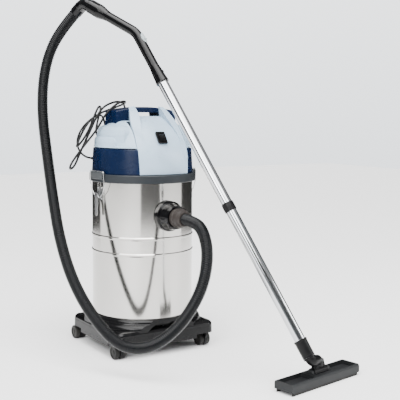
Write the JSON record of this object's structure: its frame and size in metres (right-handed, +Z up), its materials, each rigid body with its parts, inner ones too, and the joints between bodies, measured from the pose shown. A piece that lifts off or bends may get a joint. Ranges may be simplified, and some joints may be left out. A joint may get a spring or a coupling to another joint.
{
  "type": "wet and dry shop vacuum",
  "caption": "Upright canister vacuum on castors with a steel drum, latched motor head, ribbed hose, steel wand, bent grip, swivelling floor tool and a mains lead.",
  "frame": {"origin": "on the floor, under the axis of the drum", "axes": "+Z is up along the drum axis, -Y is the front with the hose inlet, +X is towards the side the wand and floor tool reach"},
  "size_m": [0.7811, 1.1657, 1.2705],
  "materials": {
    "stainless": "polished",
    "latch_steel": "plated",
    "chrome_tube": "plated",
    "navy_plastic": "semi-gloss",
    "pale_plastic": "semi-gloss",
    "ring_plastic": "satin",
    "keeper_plastic": "satin",
    "base_plastic": "satin, glossy collar",
    "castor_plastic": "satin",
    "castor_tread": "satin",
    "inlet_plastic": "gloss",
    "cuff_plastic": "satin",
    "hose_plastic": "satin, ribbed",
    "lead_rubber": "satin",
    "grip_plastic": "gloss",
    "slide_plastic": "satin",
    "tool_plastic": "fine grain",
    "strip_rubber": "satin",
    "switch_plastic": "gloss",
    "seal_rubber": "satin",
    "inner_plastic": "moulded",
    "fan_metal": "pressed",
    "motor_metal": "lamination stack",
    "copper": "enamelled winding",
    "carbon": "pressed carbon",
    "bearing_steel": "ground",
    "filter_paper": "pleated",
    "foam": "open cell foam"
  },
  "bodies": {
    "root": {"drum": "stainless", "base_tray": "base_plastic", "rim_ring": "ring_plastic", "rim_seal": "seal_rubber", "latch_keepers": "keeper_plastic", "latch_rivets": "latch_steel", "head_body": "navy_plastic", "front_panel": "pale_plastic", "head_cowl": "pale_plastic", "carry_handle": "navy_plastic", "switch_bezel": "switch_plastic", "motor_plate": "inner_plastic", "fan_shroud": "fan_metal", "motor_stator": "motor_metal", "motor_frame": "inner_plastic", "motor_bearings": "bearing_steel", "carbon_brushes": "carbon", "exhaust_foam": "foam", "filter_cartridge": "filter_paper", "filter_cap": "inner_plastic", "float_cage": "inner_plastic", "inlet_flange": "inlet_plastic", "inlet_gasket": "seal_rubber", "inlet_deflector": "inlet_plastic", "hose_cuff_drum": "cuff_plastic", "hose": "hose_plastic", "hose_cuff_wand": "grip_plastic", "lower_tube": "chrome_tube", "upper_tube": "chrome_tube", "tube_collar": "castor_plastic", "wand_handle": "grip_plastic", "tool_socket": "castor_plastic", "lead_gland": "lead_rubber", "mains_lead": "lead_rubber", "lead_coil": "lead_rubber", "mains_plug": "lead_rubber", "latch_bracket_left": "latch_steel", "latch_bracket_right": "latch_steel"},
    "castor_swivel_fl": {"castor_body_fl": "castor_plastic"},
    "castor_roll_fl": {"castor_wheels_fl": "castor_tread"},
    "castor_swivel_fr": {"castor_body_fr": "castor_plastic"},
    "castor_roll_fr": {"castor_wheels_fr": "castor_tread"},
    "castor_swivel_rl": {"castor_body_rl": "castor_plastic"},
    "castor_roll_rl": {"castor_wheels_rl": "castor_tread"},
    "castor_swivel_rr": {"castor_body_rr": "castor_plastic"},
    "castor_roll_rr": {"castor_wheels_rr": "castor_tread"},
    "lever_left": {"latch_lever_left": "latch_steel"},
    "bail_left": {"latch_bail_left": "latch_steel"},
    "lever_right": {"latch_lever_right": "latch_steel"},
    "bail_right": {"latch_bail_right": "latch_steel"},
    "rocker": {"switch_rocker": "switch_plastic"},
    "air_control": {"air_slide": "slide_plastic"},
    "lock": {"lock_button": "castor_plastic"},
    "armature": {"motor_armature": "copper", "fan_impellers": "fan_metal", "cooling_fan": "inner_plastic"},
    "float": {"float_ball": "inner_plastic"},
    "tool_swivel": {"tool_neck": "castor_plastic"},
    "floor_tool": {"tool_body": "tool_plastic", "tool_strips": "strip_rubber"}
  },
  "joints": [
    {"name": "castor_fl_swivel", "type": "hinge", "parent": "root", "child": "castor_swivel_fl", "pos_m": [-0.176, -0.164, 0.06], "axis": [0, 0, 1], "continuous": true},
    {"name": "castor_fl_roll", "type": "hinge", "parent": "castor_swivel_fl", "child": "castor_roll_fl", "pos_m": [-0.176, -0.142, 0.025], "axis": [1, 0, 0], "continuous": true},
    {"name": "castor_fr_swivel", "type": "hinge", "parent": "root", "child": "castor_swivel_fr", "pos_m": [0.176, -0.164, 0.06], "axis": [0, 0, 1], "continuous": true},
    {"name": "castor_fr_roll", "type": "hinge", "parent": "castor_swivel_fr", "child": "castor_roll_fr", "pos_m": [0.176, -0.142, 0.025], "axis": [1, 0, 0], "continuous": true},
    {"name": "castor_rl_swivel", "type": "hinge", "parent": "root", "child": "castor_swivel_rl", "pos_m": [-0.176, 0.164, 0.06], "axis": [0, 0, 1], "continuous": true},
    {"name": "castor_rl_roll", "type": "hinge", "parent": "castor_swivel_rl", "child": "castor_roll_rl", "pos_m": [-0.176, 0.186, 0.025], "axis": [1, 0, 0], "continuous": true},
    {"name": "castor_rr_swivel", "type": "hinge", "parent": "root", "child": "castor_swivel_rr", "pos_m": [0.176, 0.164, 0.06], "axis": [0, 0, 1], "continuous": true},
    {"name": "castor_rr_roll", "type": "hinge", "parent": "castor_swivel_rr", "child": "castor_roll_rr", "pos_m": [0.176, 0.186, 0.025], "axis": [1, 0, 0], "continuous": true},
    {"name": "latch_lever_left", "type": "hinge", "parent": "root", "child": "lever_left", "pos_m": [-0.19592, -0.02059, 0.577], "axis": [-0.1045, 0.9945, 0], "range_deg": [0, 150]},
    {"name": "latch_bail_left", "type": "hinge", "parent": "lever_left", "child": "bail_left", "pos_m": [-0.19194, -0.02017, 0.563], "axis": [-0.1045, 0.9945, 0], "range_deg": [-150, 0]},
    {"name": "latch_lever_right", "type": "hinge", "parent": "root", "child": "lever_right", "pos_m": [0.19592, -0.02059, 0.577], "axis": [-0.1045, -0.9945, 0], "range_deg": [0, 150]},
    {"name": "latch_bail_right", "type": "hinge", "parent": "lever_right", "child": "bail_right", "pos_m": [0.19194, -0.02017, 0.563], "axis": [-0.1045, -0.9945, 0], "range_deg": [-150, 0]},
    {"name": "power_switch", "type": "hinge", "parent": "root", "child": "rocker", "pos_m": [-0.004, -0.14102, 0.77471], "axis": [1, 0, 0], "range_deg": [-12, 0]},
    {"name": "air_control_slide", "type": "slide", "parent": "root", "child": "air_control", "axis": [-0.2434, 0.4806, 0.8425], "range_m": [-0.004, 0.012]},
    {"name": "lock_button_press", "type": "slide", "parent": "root", "child": "lock", "axis": [-0.3806, 0.7516, -0.5387], "range_m": [0, 0.0015], "stiffness_N_per_m": 300},
    {"name": "motor_spin", "type": "hinge", "parent": "root", "child": "armature", "pos_m": [0, 0, 0.73], "axis": [0, 0, 1], "continuous": true},
    {"name": "float_rise", "type": "slide", "parent": "root", "child": "float", "axis": [0, 0, 1], "range_m": [0, 0.044]},
    {"name": "tool_neck_swivel", "type": "hinge", "parent": "root", "child": "tool_swivel", "pos_m": [0.19785, -0.73331, 0.09861], "axis": [-0.2434, 0.4806, 0.8425], "range_deg": [-90, 90]},
    {"name": "floor_tool_tilt", "type": "hinge", "parent": "tool_swivel", "child": "floor_tool", "pos_m": [0.252, -0.717, 0.04], "axis": [0.9848, 0.1736, 0], "range_deg": [-30, 30]}
  ],
  "couplings": [
    {"joint": "latch_bail_left", "follows": "latch_lever_left", "ratio": -1},
    {"joint": "latch_bail_right", "follows": "latch_lever_right", "ratio": -1}
  ]
}
